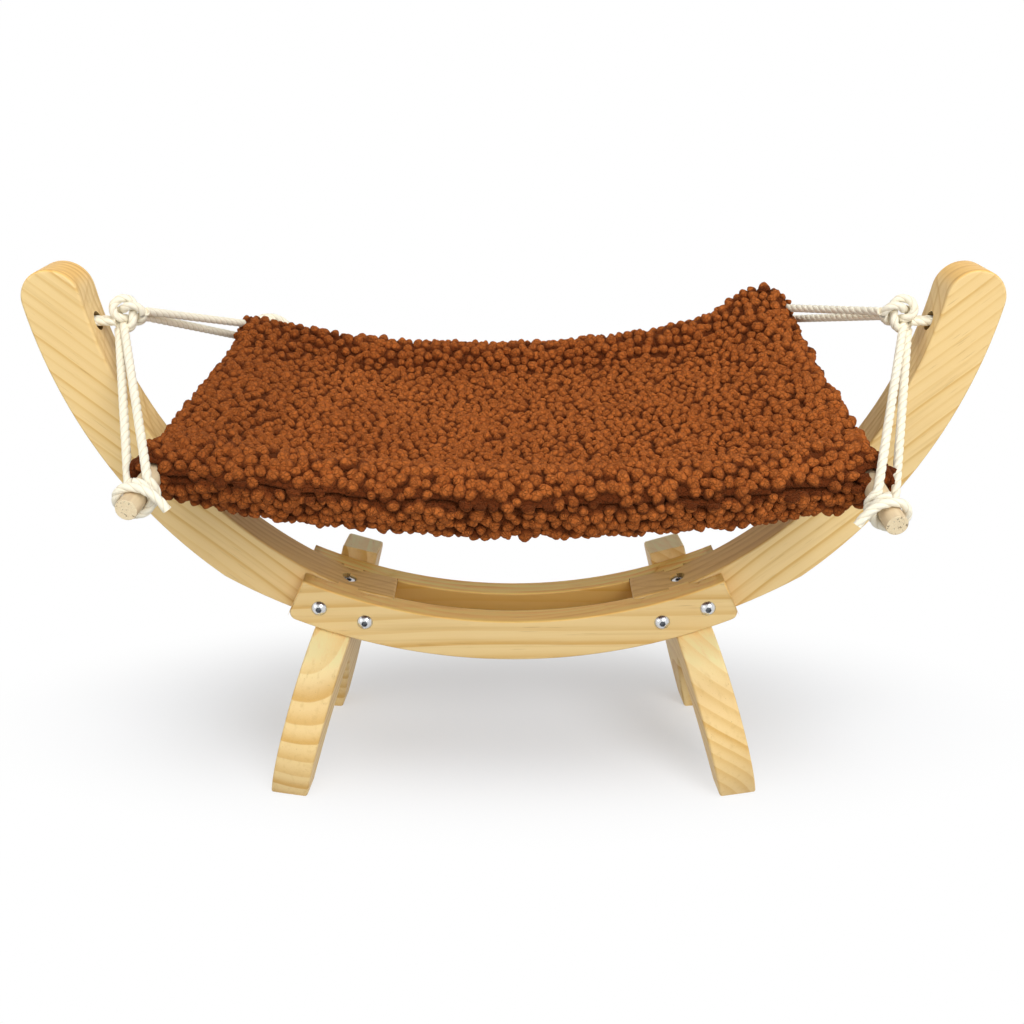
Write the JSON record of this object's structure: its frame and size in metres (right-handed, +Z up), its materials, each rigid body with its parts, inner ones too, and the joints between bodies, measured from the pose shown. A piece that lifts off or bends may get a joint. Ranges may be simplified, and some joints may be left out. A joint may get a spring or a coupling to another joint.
{
  "type": "cat hammock",
  "caption": "Free-standing cat hammock: a crescent pine frame on arched legs carries a curly plush sling bed on dowels and knotted cotton ropes.",
  "frame": {"origin": "on the floor under the middle of the frame and of the swing axis", "axes": "+X to the right along the crescent, +Y towards the rear rail, +Z up"},
  "size_m": [0.6726, 0.329, 0.3864],
  "materials": {
    "pine": "satin clear-lacquered pine",
    "dowel_wood": "plain turned wood",
    "zinc_steel": "zinc-plated steel",
    "cotton_rope": "twisted undyed cotton",
    "curly_plush": "rust brown curly fleece plush"
  },
  "bodies": {
    "frame": {"left_arm": "pine", "right_arm": "pine", "front_rail": "pine", "rear_rail": "pine", "left_leg": "pine", "right_leg": "pine", "rail_bolts": "zinc_steel", "rail_barrel_nuts": "zinc_steel", "leg_bolts": "zinc_steel", "leg_inserts": "zinc_steel"},
    "hammock": {"left_dowel": "dowel_wood", "right_dowel": "dowel_wood", "bed_upper_layer": "curly_plush", "bed_lower_layer": "curly_plush", "left_knot": "cotton_rope", "right_knot": "cotton_rope", "left_arm_loop": "cotton_rope", "right_arm_loop": "cotton_rope", "left_stopper": "cotton_rope", "right_stopper": "cotton_rope", "left_front_rope": "cotton_rope", "left_rear_rope": "cotton_rope", "right_front_rope": "cotton_rope", "right_rear_rope": "cotton_rope", "left_front_hitch": "cotton_rope", "left_rear_hitch": "cotton_rope", "right_front_hitch": "cotton_rope", "right_rear_hitch": "cotton_rope"}
  },
  "joints": [
    {"name": "hammock_swing", "type": "hinge", "parent": "frame", "child": "hammock", "pos_m": [0, 0, 0.3475], "axis": [1, 0, 0], "range_deg": [-20, 20]}
  ]
}
